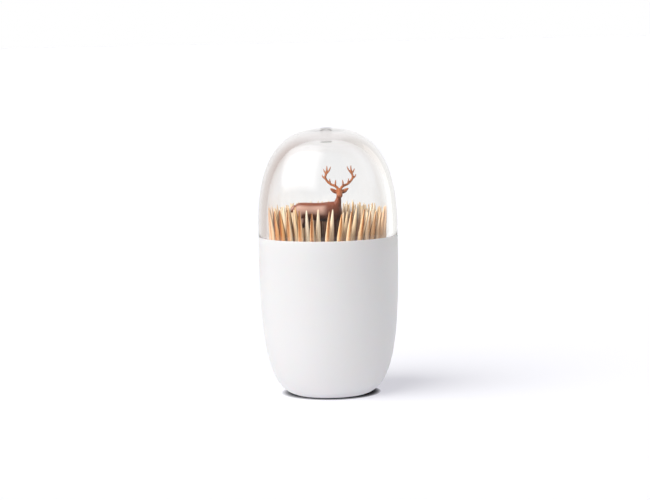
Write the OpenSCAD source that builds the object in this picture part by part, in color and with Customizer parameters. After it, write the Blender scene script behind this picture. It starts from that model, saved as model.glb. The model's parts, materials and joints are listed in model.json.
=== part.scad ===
// Toothpick holder: a white egg-shaped cup, a clear domed lid, and a brown stag on a post
// that stands among the toothpicks as if in tall grass. Millimetres, +Z up, origin at the
// centre of the foot. The stag's flank faces -Y, and its head is turned to -Y.

/* [Cup] */
// Outer diameter of cup and lid at the seam
body_d = 53; // [50:0.5:58]
// Height of the seam between cup and lid above the table
cup_h = 60.5; // [56:0.5:64]
// Outer diameter of the ring that the cup stands on
foot_d = 29.6; // [26:0.2:33]
// Width of the standing ring
foot_rim_w = 2.6; // [1.6:0.1:4]
// Depth of the hollow inside the standing ring
foot_recess_h = 2.4; // [1:0.1:3]
// Height of the inner floor above the table
floor_h = 6.6; // [6:0.1:8]
// Radius of the flat part of the inner floor
floor_r = 17.8; // [15:0.1:18]
// Wall thickness under the mouth
cup_wall = 3.9; // [3.5:0.1:4.5]
// Thickness of the rim that closes round the lid's spigot
rim_lip_w = 1.5; // [1:0.1:2]

/* [Dome lid] */
// Height of the lid above the seam
dome_h = 40.7; // [37:0.1:45]
// Wall thickness of the lid at the seam
dome_wall = 3.1; // [2.6:0.1:3.4]
// Wall thickness of the lid at its top
dome_top_wall = 3.8; // [2.6:0.1:4.6]
// Depth of the spigot that drops into the cup
spigot_h = 3.5; // [2.4:0.1:5]
// Diameter of the gate mark on top of the lid
gate_d = 3.6; // [2:0.1:6]
// Depth of the gate mark
gate_depth = 0.35; // [0.2:0.05:0.8]

/* [Stag stand] */
// Height of the platform's top above the inner floor
stand_h = 50.2; // [46:0.1:53]
// Diameter of the post at its foot
post_foot_d = 5; // [4:0.1:6]
// Diameter of the post under the platform
post_top_d = 3.4; // [2.6:0.1:4.4]
// Diameter of the plug at the foot of the post
plug_d = 4.6; // [3.6:0.1:5.4]
// Length of the plug
plug_h = 5; // [3.4:0.1:5.8]
// Outer diameter of the socket boss on the cup's floor
boss_d = 8.4; // [7.6:0.1:9]
// Height of the socket boss above the floor
boss_h = 3; // [2.4:0.1:4]
// Length of the oval platform
platform_len = 19.6; // [18.4:0.1:21]
// Width of the oval platform
platform_w = 6.4; // [5.4:0.1:7]
// Thickness of the platform
platform_t = 1.4; // [1.2:0.1:2]
// Thickness of the four webs under the platform
web_t = 0.9; // [0.6:0.1:1.4]

/* [Stag] */
// Height of the stag from hoof to withers
stag_h = 16.6; // [15.6:0.1:17.6]
// Distance of the stag's middle from the cup's axis, towards its tail
stag_offset = 3.5; // [3:0.1:4]
// Height of the antlers above the head
antler_h = 9; // [7.6:0.1:9.6]
// Width across the antlers
antler_span = 13; // [11:0.1:14]
// Diameter of the antler beam at the head
antler_d = 1; // [0.7:0.05:1.2]
// Diameter of the pegs under the hooves
peg_d = 0.8; // [0.6:0.05:0.9]
// Length of the pegs under the hooves
peg_h = 1; // [0.6:0.1:1.1]

/* [Toothpicks] */
// Length of a toothpick
pick_len = 65; // [62:0.5:67]
// Diameter of a toothpick
pick_d = 2; // [1.9:0.05:2.2]
// Diameter of a toothpick at its blunted points
pick_tip_d = 0.5; // [0.3:0.05:0.7]
// Length of a toothpick's tapered ends
pick_taper_len = 11; // [8:0.5:14]
// Largest difference of a toothpick's length from the nominal one
pick_len_scatter = 1; // [0:0.1:1.2]
// Free space left between neighbouring toothpicks in a row
pick_gap = 0.3; // [0.2:0.05:0.8]

/* [Hidden] */
$fn = 96;
// Radial clearance between the lid's spigot and the cup's rim
lid_clearance = 0.08;
// Gap under the spigot, so that the lid seats on its shoulder
spigot_gap = 0.3;
// Radial clearance of the post's plug in its socket
plug_clearance = 0.03;
// Radial clearance of the hoof pegs in the platform
peg_clearance = 0.1;
// Clearance between a toothpick and what it stands on or leans against
pick_clearance = 0.15;
// Chamfer of the edges that meet at the seam
seam_chamfer = 0.15;
// Overrun of every cut
cut = 1;

// Exponents of the superellipse outlines: height and radius of the outer and inner shells
cup_height_power = 3;
cup_radius_power = 5;
cup_inner_height_power = 4.5;
dome_height_power = 2.65;
dome_radius_power = 2.61;
// Straight pieces in each curved outline
cup_steps = 30;
dome_steps = 36;
// Turns an angle step into finer steps near the pole of the dome
quarter = 90;

body_r = body_d / 2;
foot_r = foot_d / 2;
mouth_r = body_r - cup_wall;
rim_r = body_r - rim_lip_w;
rebate_h = spigot_h + spigot_gap;
ledge_z = cup_h - rebate_h;
dome_in_r = body_r - dome_wall;
dome_in_h = dome_h - dome_top_wall;
spigot_r = rim_r - lid_clearance;
platform_z = floor_h + stand_h;
pick_r = pick_d / 2;

// Radius of a superellipse quadrant of radius r and height h, at height z above its widest level
function quadrant_r(z, r, h, height_power, radius_power) =
    r * pow(max(0, 1 - pow(min(1, max(0, z / h)), height_power)), 1 / radius_power);

// Share of a quadrant's full height at which its radius has fallen to cut_r
function share_at(cut_r, r, height_power, radius_power) =
    pow(1 - pow(cut_r / r, radius_power), 1 / height_power);

// Outline of a bowl that is r wide at top_z and end_r wide at end_z, from the top down
function bowl_outline(r, top_z, end_r, end_z, height_power, steps) =
    let (last = share_at(end_r, r, height_power, cup_radius_power),
         last_angle = asin(pow(last, height_power / 2)))
    [for (i = [0:steps])
        let (angle = last_angle * i / steps,
             depth = pow(sin(angle), 2 / height_power) / last)
        [r * pow(cos(angle), 2 / cup_radius_power), top_z - (top_z - end_z) * depth]];

// Outline of a dome of radius r and height h on the level base_z, from the rim up to the pole
function dome_outline(r, h, base_z) =
    [for (i = [0:dome_steps])
        let (angle = quarter * i / dome_steps)
        [i == dome_steps ? 0 : r * pow(cos(angle), 2 / dome_radius_power),
         base_z + h * pow(sin(angle), 2 / dome_height_power)]];

function reversed(list) = [for (i = [len(list) - 1:-1:0]) list[i]];

// Inner outline of the cup, from the ledge down to the floor
function cup_inner_outline() =
    bowl_outline(mouth_r, ledge_z, floor_r, floor_h, cup_inner_height_power, cup_steps);

// Cup: a bowl with a rebated rim, a standing ring and a socket boss for the post
module cup() {
    color("whitesmoke")
    difference() {
        union() {
            rotate_extrude()
                polygon(concat(
                    [[0, floor_h], [0, foot_recess_h], [foot_r - foot_rim_w, foot_recess_h],
                     [foot_r - foot_rim_w, 0]],
                    reversed(bowl_outline(body_r, cup_h - seam_chamfer, foot_r, 0,
                                          cup_height_power, cup_steps)),
                    [[body_r - seam_chamfer, cup_h], [rim_r, cup_h], [rim_r, ledge_z]],
                    cup_inner_outline()));
            translate([0, 0, floor_h - boss_root])
                cylinder(d = boss_d, h = boss_h + boss_root);
        }
        translate([0, 0, socket_z])
            cylinder(r = plug_d / 2 + plug_clearance, h = plug_h + cut);
    }
}

// How far the boss reaches into the floor, and the level of the socket's bottom
boss_root = floor_h - foot_recess_h - seam_chamfer;
socket_z = floor_h + boss_h - plug_h;

// Lid: a thick dome with a spigot inside the cup's rim and a gate mark on its top
module dome_lid() {
    color("azure", 0.35)
    difference() {
        rotate_extrude()
            polygon(concat(
                [[dome_in_r, cup_h - spigot_h], [spigot_r - seam_chamfer, cup_h - spigot_h],
                 [spigot_r, cup_h - spigot_h + seam_chamfer], [spigot_r, cup_h],
                 [body_r - seam_chamfer, cup_h]],
                dome_outline(body_r, dome_h - seam_chamfer, cup_h + seam_chamfer),
                reversed(dome_outline(dome_in_r, dome_in_h, cup_h))));
        translate([0, 0, cup_h + dome_h - gate_depth])
            cylinder(d = gate_d, h = gate_depth + cut);
    }
}

// Stand: a plug in the cup's socket, a collar, a tapered post and an oval platform on webs
module stag_stand() {
    collar_z = floor_h + boss_h;
    platform_r = platform_w / 2;
    post_top_z = platform_z - platform_t;
    color("saddlebrown")
    difference() {
        union() {
            translate([0, 0, socket_z])
                cylinder(d = plug_d, h = plug_h + collar_h / 2);
            translate([0, 0, collar_z])
                cylinder(d = boss_d, h = collar_h);
            translate([0, 0, collar_z + collar_h / 2])
                cylinder(d1 = post_foot_d, d2 = post_top_d,
                         h = post_top_z - collar_z - collar_h / 2 + platform_t / 2);
            platform(post_top_z);
            for (turn = [0, quarter, 2 * quarter, 3 * quarter])
                rotate([0, 0, turn])
                    web(turn == 2 * quarter ? platform_len / 2 : platform_r, post_top_z);
        }
        for (hoof = hoof_places())
            translate([hoof[0], hoof[1], platform_z - peg_h - peg_clearance])
                cylinder(r = peg_d / 2 + peg_clearance, h = peg_h + cut, $fn = 24);
    }
}

// Thickness of the stand's collar, and how far the webs run down the post
collar_h = 1.6;
web_drop = 7;

// Oval plate under the hooves
module platform(z) {
    platform_r = platform_w / 2;
    reach = platform_len / 2 - platform_r;
    translate([-stag_offset, 0, z])
        linear_extrude(platform_t) {
            for (side = [-1, 1])
                translate([side * reach, 0]) circle(platform_r);
            square([2 * reach, platform_w], center = true);
        }
}

// Triangular web that props the platform from the post, out to the given reach
module web(reach, z) {
    rotate([quarter, 0, 0])
        translate([0, 0, -web_t / 2])
            linear_extrude(web_t)
                polygon([[0, z + platform_t / 2], [reach, z + platform_t / 2],
                         [reach, z - web_t / 2], [post_top_d / 2, z - web_drop],
                         [0, z - web_drop]]);
}

// Point at share t between p1 and p2 on a smooth curve that also knows p0 and p3
function smooth_point(p0, p1, p2, p3, t) =
    (2 * p1 + (p2 - p0) * t + (2 * p0 - 5 * p1 + 4 * p2 - p3) * t * t
     + (3 * p1 - p0 - 3 * p2 + p3) * t * t * t) / 2;

// List of stations with steps pieces between each pair, on one smooth curve
function smooth_list(list, steps) =
    let (last = len(list) - 1)
    concat([for (i = [0:last - 1], j = [0:steps - 1])
               smooth_point(list[max(i - 1, 0)], list[i], list[i + 1], list[min(i + 2, last)],
                            j / steps)],
           [list[last]]);

function unit(v) = v / norm(v);

// Direction of a path of points at its point i
function heading(path, i) =
    unit(path[min(i + 1, len(path) - 1)] - path[max(i - 1, 0)]);

// Skin through one ring per station. A station is [x, y, z, radius along side, other radius].
module limb(stations, side, sides) {
    path = [for (s = stations) [s[0], s[1], s[2]]];
    last = len(path) - 1;
    points = [for (i = [0:last], k = [0:sides - 1])
        let (across = unit(cross(heading(path, i), side)),
             angle = 4 * quarter * k / sides)
        path[i] + side * stations[i][3] * cos(angle) + across * stations[i][4] * sin(angle)];
    walls = [for (i = [0:last - 1], k = [0:sides - 1])
        let (a = i * sides + k, b = i * sides + (k + 1) % sides)
        each [[a, a + sides, b], [b, a + sides, b + sides]]];
    polyhedron(points = points,
               faces = concat([[for (k = [0:sides - 1]) k]], walls,
                              [[for (k = [sides - 1:-1:0]) last * sides + k]]),
               convexity = 4);
}

// Stag's outline in shares of its height at the withers, from the middle of its body and the
// soles of its hooves. Trunk and neck: [along, height, half width, half depth].
trunk_shares = [
    [-0.604, 0.790, 0.020, 0.030], [-0.580, 0.795, 0.075, 0.100],
    [-0.512, 0.785, 0.122, 0.180], [-0.420, 0.775, 0.148, 0.207],
    [-0.301, 0.780, 0.154, 0.205], [-0.120, 0.775, 0.151, 0.200],
    [0.060, 0.762, 0.160, 0.214], [0.241, 0.756, 0.163, 0.234],
    [0.380, 0.759, 0.151, 0.235], [0.482, 0.765, 0.114, 0.181],
    [0.525, 0.771, 0.060, 0.102], [0.538, 0.771, 0.018, 0.030]];
neck_shares = [
    [0.330, 0.780, 0.150, 0.190], [0.370, 0.850, 0.124, 0.158],
    [0.412, 0.918, 0.102, 0.122], [0.444, 0.990, 0.082, 0.088],
    [0.466, 1.065, 0.068, 0.068], [0.480, 1.140, 0.060, 0.058],
    [0.488, 1.215, 0.054, 0.050]];
// Head, seen from its side: [towards the tail side, height, half width, half depth]
head_shares = [
    [0.090, 1.241, 0.024, 0.024], [0.060, 1.235, 0.063, 0.063],
    [0.000, 1.229, 0.078, 0.081], [-0.060, 1.208, 0.076, 0.078],
    [-0.120, 1.178, 0.060, 0.066], [-0.181, 1.151, 0.050, 0.054],
    [-0.229, 1.133, 0.047, 0.047], [-0.253, 1.127, 0.030, 0.028]];
// Legs and tail: [along, sideways, height, half width, half depth]
foreleg_shares = [
    [0.337, 0.055, 0.690, 0.080, 0.115], [0.307, 0.080, 0.518, 0.054, 0.075],
    [0.325, 0.083, 0.390, 0.036, 0.044], [0.337, 0.083, 0.277, 0.035, 0.037],
    [0.331, 0.083, 0.180, 0.024, 0.027], [0.325, 0.083, 0.082, 0.029, 0.031],
    [0.346, 0.083, 0.046, 0.026, 0.026]];
hindleg_shares = [
    [-0.380, 0.050, 0.720, 0.085, 0.127], [-0.337, 0.080, 0.542, 0.058, 0.090],
    [-0.410, 0.085, 0.428, 0.040, 0.052], [-0.480, 0.085, 0.325, 0.033, 0.038],
    [-0.464, 0.085, 0.193, 0.024, 0.027], [-0.446, 0.085, 0.082, 0.029, 0.031],
    [-0.425, 0.085, 0.046, 0.026, 0.026]];
tail_shares = [
    [-0.500, 0, 0.905, 0.040, 0.034], [-0.572, 0, 0.880, 0.044, 0.036],
    [-0.612, 0, 0.826, 0.044, 0.034], [-0.624, 0, 0.760, 0.030, 0.020]];
// Stride of each pair of legs: the near leg stands ahead, the far one behind
stride_share = 0.030;
// Hoof: length and width of its sole, its height, and how far the sole lies ahead of the ankle
hoof_shares = [0.038, 0.034, 0.060, 0.014];
// Ear: [sideways, towards the tail side, height, radius] at its root, middle and tip
ear_shares = [[0.050, 0.020, 1.246, 0.022], [0.136, 0.014, 1.262, 0.040],
              [0.214, 0.006, 1.296, 0.010]];
// Flattening of an ear across its leaf
ear_flat_share = 0.45;
// Level of the antlers' roots
crown_share = 1.292;

// Antlers, for one side: [sideways, towards the tail side, height], in shares of half the
// span and, for the other two, of the antler's height; then the thickness in shares of the beam
beam_shares = [
    [0.060, 0.00, -0.06, 1.0], [0.130, 0.02, 0.045, 1.0], [0.272, 0.05, 0.120, 0.92],
    [0.468, 0.09, 0.174, 0.90], [0.637, 0.11, 0.276, 0.86], [0.770, 0.11, 0.400, 0.84],
    [0.806, 0.10, 0.497, 0.82], [0.780, 0.08, 0.580, 0.82], [0.742, 0.06, 0.660, 0.80]];
tine_shares = [
    // Brow tine
    [[0.215, 0.03, 0.100, 0.62], [0.225, -0.03, 0.180, 0.62], [0.215, -0.05, 0.275, 0.52],
     [0.198, -0.05, 0.367, 0.26]],
    // Second tine
    [[0.500, 0.09, 0.195, 0.60], [0.525, 0.07, 0.270, 0.58], [0.545, 0.05, 0.350, 0.44],
     [0.546, 0.04, 0.424, 0.24]],
    // Outer tine
    [[0.790, 0.11, 0.425, 0.62], [0.890, 0.11, 0.470, 0.62], [0.960, 0.10, 0.530, 0.48],
     [0.990, 0.09, 0.605, 0.24]],
    // Three points of the crown, from the outside in
    [[0.750, 0.06, 0.640, 0.66], [0.812, 0.05, 0.700, 0.60], [0.868, 0.04, 0.770, 0.46],
     [0.900, 0.03, 0.850, 0.24]],
    [[0.742, 0.06, 0.640, 0.74], [0.712, 0.04, 0.760, 0.66], [0.700, 0.03, 0.880, 0.48],
     [0.706, 0.02, 0.985, 0.24]],
    [[0.742, 0.06, 0.630, 0.66], [0.630, 0.04, 0.725, 0.60], [0.535, 0.02, 0.830, 0.46],
     [0.484, 0.01, 0.945, 0.24]]];

// A leg's stations in millimetres, on the side and with the stride given by the signs
function leg_stations(shares, side, stride) =
    [for (s = smooth_list(shares, 2))
        [(s[0] + stride * stride_share) * stag_h, side * s[1] * stag_h, s[2] * stag_h,
         s[3] * stag_h, s[4] * stag_h]];

// [table of shares, side, stride] of the four legs. The viewer's side is -1.
function legs() = [[foreleg_shares, -1, 1], [foreleg_shares, 1, -1],
                   [hindleg_shares, -1, -1], [hindleg_shares, 1, 1]];

// Middles of the four soles on the platform
function hoof_places() =
    [for (leg = legs())
        let (ankle = leg[0][len(leg[0]) - 1])
        [(ankle[0] + leg[2] * stride_share + hoof_shares[3]) * stag_h - stag_offset,
         leg[1] * ankle[1] * stag_h]];

// Four legs that end in cloven-shaped hooves with pegs
module stag_legs() {
    for (leg = legs())
        limb(leg_stations(leg[0], leg[1], leg[2]), [0, 1, 0], 10);
    for (hoof = hoof_places())
        translate([hoof[0] + stag_offset, hoof[1], 0]) {
            hull() {
                linear_extrude(platform_t / 10)
                    scale([hoof_shares[0], hoof_shares[1]] * stag_h) circle(1, $fn = 14);
                translate([-hoof_shares[3] * stag_h, 0, hoof_shares[2] * stag_h])
                    sphere(hoof_shares[1] * stag_h * 0.75, $fn = 10);
            }
            translate([0, 0, -peg_h])
                cylinder(d = peg_d, h = peg_h + platform_t / 10, $fn = 16);
        }
}

// Head turned to -Y, with ears
module stag_head() {
    neck_top = neck_shares[len(neck_shares) - 1];
    head_x = neck_top[0] * stag_h;
    limb([for (s = smooth_list(head_shares, 2))
              [head_x, s[0] * stag_h, s[1] * stag_h, s[2] * stag_h, s[3] * stag_h]],
         [1, 0, 0], 16);
    for (side = [-1, 1], i = [0, 1])
        hull()
            for (p = [ear_shares[i], ear_shares[i + 1]])
                translate([head_x + side * p[0] * stag_h, p[1] * stag_h, p[2] * stag_h])
                    scale([1, ear_flat_share, 1]) sphere(p[3] * stag_h, $fn = 12);
}

// One antler on the given side, on the crown of the head
module antler(side) {
    neck_top = neck_shares[len(neck_shares) - 1];
    function place(s) =
        [neck_top[0] * stag_h + side * s[0] * antler_span / 2, s[1] * antler_h,
         crown_share * stag_h + s[2] * antler_h, s[3] * antler_d / 2, s[3] * antler_d / 2];
    limb([for (s = smooth_list(beam_shares, 2)) place(s)], [0, 1, 0], 8);
    for (tine = tine_shares)
        limb([for (s = smooth_list(tine, 2)) place(s)], [0, 1, 0], 6);
}

// The stag: one moulding whose trunk, neck, head, ears, antlers, legs and tail run together
module stag() {
    color("sienna")
    translate([-stag_offset, 0, platform_z])
        union() {
            limb([for (s = smooth_list(trunk_shares, 3))
                      [s[0] * stag_h, 0, s[1] * stag_h, s[2] * stag_h, s[3] * stag_h]],
                 [0, 1, 0], 20);
            limb([for (s = smooth_list(neck_shares, 2))
                      [s[0] * stag_h, 0, s[1] * stag_h, s[2] * stag_h, s[3] * stag_h]],
                 [0, 1, 0], 14);
            limb([for (s = smooth_list(tail_shares, 2)) s * stag_h], [0, 1, 0], 8);
            stag_head();
            stag_legs();
            for (side = [-1, 1]) antler(side);
        }
}

// Distance between rows of toothpicks at the points and at the feet, in pick diameters
row_pitch_share = 1.16;
floor_row_pitch_share = 1.07;
row_total = 5;
// Bearing at which the outer row starts, how much further on each next row does, and the step
// by which a row's places are tried, in degrees
row_start = 90;
row_turn = 6;
try_step = 1.3;
// Sway of the points about the axis against the feet, by bearing, in degrees
sways = [[-180, -8], [-150, -12], [-128, -6], [-108, 12], [-85, 24], [-40, 28],
         [40, 12], [120, -4], [180, -8]];
sway_scatter = 3;
// Scatter of a toothpick across its row, in pick diameters
across_scatter = 0.08;
// Sector at the front, in degrees either way, that each row leaves free before the stag
front_half_angles = [0, 0, 18, 62, 80];
front_angle = -90;
// Radius around the post that the feet leave free
post_free_r = boss_d / 2 + pick_clearance;

// Repeatable scatter from -1 to 1 for toothpick k of a row
function scatter(row, k, salt) = rands(-1, 1, 1, 1000 * row + 17 * k + salt)[0];

// Radius of a row at its feet and at its points
function row_foot_r(row) =
    floor_r - pick_tip_d - pick_r - row * floor_row_pitch_share * pick_d;
function row_point_r(row) =
    quadrant_r(pick_len + floor_h + pick_len_scatter - cup_h, dome_in_r, dome_in_h,
               dome_height_power, dome_radius_power)
    - pick_tip_d / 2 - pick_clearance - row * row_pitch_share * pick_d;

// A toothpick is [row, foot, lean, height]: its foot seen from above, how far it leans per
// unit of height, and how high its point stands above its foot
function place(row, k) =
    let (turn = row_start + row_turn * row + try_step * k,
         bearing = turn > 180 ? turn - 360 : turn,
         point_bearing = bearing + lookup(bearing, sways) + sway_scatter * scatter(row, k, 2),
         foot_r = row_foot_r(row) - pick_d * across_scatter * (1 + scatter(row, k, 3)),
         point_r = row_point_r(row) - pick_d * across_scatter * (1 + scatter(row, k, 4)),
         foot = foot_r * [cos(bearing), sin(bearing)],
         drift = point_r * [cos(point_bearing), sin(point_bearing)] - foot,
         height = sqrt(pow(pick_len + pick_len_scatter * scatter(row, k, 5), 2)
                       - pow(norm(drift), 2)))
    [row, foot, drift / height, height];

// Middle of a toothpick at a height above the feet
function at_height(pick, height) = pick[1] + pick[2] * height;

// Least distance between two toothpicks over their full shanks
function shank_distance(a, b) =
    let (start = a[1] - b[1], change = a[2] - b[2],
         nearest = -(start * change) / max(change * change, 1 / pow(pick_len, 4)),
         height = min(max(nearest, pick_taper_len), min(a[3], b[3]) - pick_taper_len))
    norm(start + change * height);

// Distance between two toothpicks at one height
function distance_at(a, b, height) = norm(at_height(a, height) - at_height(b, height));

// Do two toothpicks stand clear of each other, shanks and tapered ends?
function clear_pair(a, b) =
    let (top = min(a[3], b[3]), half_taper = pick_taper_len / 2,
         end_room = pick_tip_d + pick_gap, half_room = (pick_tip_d + pick_d) / 2 + pick_gap)
    shank_distance(a, b) > pick_d + pick_gap / 2
    && distance_at(a, b, 0) > end_room && distance_at(a, b, half_taper) > half_room
    && distance_at(a, b, top) > end_room && distance_at(a, b, top - half_taper) > half_room;

// Does point p stay clear of the stag and its platform, both seen from above?
function clear_of_stag(p) =
    let (tail_x = stag_offset + 0.65 * stag_h + pick_d,
         chest_x = platform_len / 2 - stag_offset + pick_d,
         side_y = platform_w / 2 + pick_r + pick_gap)
    p[0] < -tail_x || p[0] > chest_x || abs(p[1]) > side_y;

// Angle between a point and the front, seen from above
function off_front(p) =
    let (turn = atan2(p[1], p[0]) - front_angle)
    abs(turn > 180 ? turn - 360 : turn < -180 ? turn + 360 : turn);

// Does a toothpick leave the stag, the post and the front free?
function in_place(pick) =
    let (stag_level = platform_z - platform_t - floor_h)
    clear_of_stag(at_height(pick, stag_level)) && clear_of_stag(at_height(pick, pick[3]))
    && norm(pick[1]) > post_free_r + pick_tip_d
    && norm(at_height(pick, boss_h + collar_h)) > post_free_r + pick_r
    && off_front(at_height(pick, stag_level)) >= front_half_angles[pick[0]];

// Every place tried, row by row from the outside in
tried = [for (row = [0:row_total - 1], k = [0:360 / try_step - 1])
    let (pick = place(row, k))
    if (in_place(pick)) pick];

// Those that stand clear of all the ones kept before them
function keep_clear(i, kept) =
    i == len(tried) ? kept
    : keep_clear(i + 1, len([for (other = kept) if (!clear_pair(tried[i], other)) 1]) > 0
                        ? kept : concat(kept, [tried[i]]));
picks = keep_clear(0, []);

// Foot and point of a toothpick in space
function pick_ends(pick) =
    let (point = at_height(pick, pick[3]), foot_z = floor_h + pick_clearance)
    [[pick[1][0], pick[1][1], foot_z], [point[0], point[1], foot_z + pick[3]]];

// A round toothpick with a long taper at each end
module toothpick(ends) {
    way = ends[1] - ends[0];
    length = norm(way);
    translate(ends[0])
        rotate([0, acos(way[2] / length), atan2(way[1], way[0])])
            rotate_extrude()
                polygon([[0, 0], [pick_tip_d / 2, 0], [pick_r, pick_taper_len],
                         [pick_r, length - pick_taper_len], [pick_tip_d / 2, length],
                         [0, length]]);
}

// All toothpicks of the rows from one to another
module toothpick_rows(first, last) {
    color("burlywood")
    for (pick = picks)
        if (pick[0] >= first && pick[0] <= last) toothpick(pick_ends(pick));
}

cup();
dome_lid();
stag_stand();
stag();
toothpick_rows(0, 0);  // toothpicks_outer_row
toothpick_rows(1, 1);  // toothpicks_second_row
toothpick_rows(2, 2);  // toothpicks_third_row
toothpick_rows(3, 4);  // toothpicks_inner_row
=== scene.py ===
"""Looks of a toothpick holder: white cup, clear lid, brown stag and wooden toothpicks.

Everything is in metres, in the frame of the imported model. Sizes inside the classes are in
millimetres, because that is how the pieces are drawn, and MM turns them to metres.
"""

import json
import logging
import math
from dataclasses import dataclass, field
from enum import Enum

import bmesh
import bpy
import numpy as np
from mathutils import Matrix, Vector

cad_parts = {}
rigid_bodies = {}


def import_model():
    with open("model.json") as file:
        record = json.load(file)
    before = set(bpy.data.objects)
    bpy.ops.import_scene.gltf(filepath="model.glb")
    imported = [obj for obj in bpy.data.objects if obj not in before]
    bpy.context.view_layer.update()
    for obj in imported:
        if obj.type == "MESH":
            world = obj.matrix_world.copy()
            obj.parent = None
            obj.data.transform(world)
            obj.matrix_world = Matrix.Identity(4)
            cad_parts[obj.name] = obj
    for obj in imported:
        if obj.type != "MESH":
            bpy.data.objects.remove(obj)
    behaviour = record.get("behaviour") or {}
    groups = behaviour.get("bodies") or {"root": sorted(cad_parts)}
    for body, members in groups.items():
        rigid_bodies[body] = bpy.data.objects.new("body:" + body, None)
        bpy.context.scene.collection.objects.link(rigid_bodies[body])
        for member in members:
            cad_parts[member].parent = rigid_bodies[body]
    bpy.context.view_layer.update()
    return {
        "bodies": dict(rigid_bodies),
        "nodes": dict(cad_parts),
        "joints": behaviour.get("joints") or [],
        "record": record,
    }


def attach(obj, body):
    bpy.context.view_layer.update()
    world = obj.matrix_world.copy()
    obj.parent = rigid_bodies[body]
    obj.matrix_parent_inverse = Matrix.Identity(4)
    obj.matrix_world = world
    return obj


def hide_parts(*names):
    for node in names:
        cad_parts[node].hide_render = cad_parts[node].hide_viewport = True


LOG = logging.getLogger("toothpick_holder")
MM = 0.001
# Radius of the rings that close a turned shape on its axis; they are merged afterwards
POLE_R = 1e-5
MERGE_DISTANCE = 2e-7
# Where a moulded edge's round is deepest, as a share of the edge's width
EDGE_ROUND = 0.3
# Edges of the shells stay sharp past this many degrees
SHELL_SHARP = 28
# Mesh attribute that holds a toothpick's own tone
TONE = "tone"
# Numbers of a Mix node's colour sockets: its two inputs and its result
MIX_A, MIX_B, MIX_RESULT = 6, 7, 2
# Settings that several nodes share
COLOURS = {"data_type": "RGBA"}
TINTS = {"data_type": "RGBA", "blend_type": "MULTIPLY"}
SMOOTH = {"interpolation_type": "SMOOTHSTEP"}
MULTIPLY = {"operation": "MULTIPLY"}
MAXIMUM = {"operation": "MAXIMUM"}
LESS_THAN = {"operation": "LESS_THAN"}
SHADE_SAMPLES = 8
ACROSS = Vector((0, 1, 0))

Point = tuple[float, float]


class Body(Enum):
    """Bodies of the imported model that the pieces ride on."""

    HOLDER = "holder"
    LID = "lid"


class Slot(Enum):
    """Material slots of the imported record."""

    WHITE = "white_plastic"
    CLEAR = "clear_plastic"
    BROWN = "brown_plastic"
    WOOD = "pick_wood"


# Small tools


def linear(hex_code: str) -> tuple[float, float, float, float]:
    """Turns an sRGB hex colour into linear light.

    Args:
        hex_code: Colour such as "8C5037".

    Returns:
        Linear red, green, blue and an alpha of 1.
    """
    parts = [int(hex_code[i : i + 2], 16) / 255 for i in (0, 2, 4)]
    return (*[p / 12.92 if p <= 0.04045 else ((p + 0.055) / 1.055) ** 2.4 for p in parts], 1.0)


def add_node(
    tree: bpy.types.NodeTree,
    kind: str,
    settings: dict[str, object] | None = None,
    inputs: dict[str | int, object] | None = None,
) -> bpy.types.Node:
    """Adds a node, sets its properties, and fills or links its sockets.

    Args:
        tree: Node tree that gets the node.
        kind: Blender's type name of the node, without its "ShaderNode".
        settings: Property values of the node. A ramp's "stops" are its places from 0 to 1,
            in rising order, each with its sRGB hex colour.
        inputs: Socket name or number to a value, to the output socket that feeds it, or to
            the node whose first output does.

    Returns:
        The new node.
    """
    node = tree.nodes.new("ShaderNode" + kind)
    settings = dict(settings or {})
    stops = settings.pop("stops", ())
    for place, _ in stops[1:-1]:
        node.color_ramp.elements.new(place)
    for number, (place, hex_code) in enumerate(stops):
        node.color_ramp.elements[number].position = place
        node.color_ramp.elements[number].color = linear(hex_code)
    for name, value in settings.items():
        setattr(node, name, value)
    for key, value in (inputs or {}).items():
        feed = value.outputs[0] if isinstance(value, bpy.types.Node) else value
        if isinstance(feed, bpy.types.NodeSocket):
            tree.links.new(feed, node.inputs[key])
        else:
            node.inputs[key].default_value = feed
    return node


def new_material(name: str) -> tuple[bpy.types.Material, bpy.types.NodeTree]:
    """Makes a material without nodes.

    Args:
        name: Name of the material.

    Returns:
        The material, and its empty node tree.
    """
    mat = bpy.data.materials.new(name)
    mat.use_nodes = True
    mat.node_tree.nodes.clear()
    return mat, mat.node_tree


def deselect() -> None:
    """Leaves nothing selected and nothing active."""
    bpy.ops.object.select_all(action="DESELECT")
    bpy.context.view_layer.objects.active = None


def activate(obj: bpy.types.Object) -> None:
    """Selects one object alone and makes it active.

    Args:
        obj: Object that the next operator acts on.
    """
    deselect()
    obj.select_set(True)
    bpy.context.view_layer.objects.active = obj


def apply_modifier(obj: bpy.types.Object, kind: str, settings: dict[str, object]) -> None:
    """Adds a modifier with its settings and applies it.

    Args:
        obj: Mesh object that is changed.
        kind: Blender's type name of the modifier.
        settings: Property values of the modifier.
    """
    activate(obj)
    modifier = obj.modifiers.new(kind.title(), kind)
    for name, value in settings.items():
        setattr(modifier, name, value)
    bpy.ops.object.modifier_apply(modifier=modifier.name)


def join(objects: list[bpy.types.Object], name: str) -> bpy.types.Object:
    """Joins mesh objects into the first one and names it.

    Args:
        objects: Objects to join.
        name: Name of the result.

    Returns:
        The joined object.
    """
    deselect()
    for obj in objects:
        obj.select_set(True)
    bpy.context.view_layer.objects.active = objects[0]
    bpy.ops.object.join()
    joined = bpy.context.object
    joined.name = joined.data.name = name
    return joined


def settle(obj: bpy.types.Object, sharp_degrees: float) -> None:
    """Puts an object's place into its mesh and smooths its shading.

    Args:
        obj: Finished mesh object.
        sharp_degrees: Edges sharper than this angle stay sharp.
    """
    activate(obj)
    bpy.ops.object.transform_apply(location=True, rotation=True, scale=True)
    bpy.ops.object.shade_smooth_by_angle(angle=math.radians(sharp_degrees))


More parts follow.
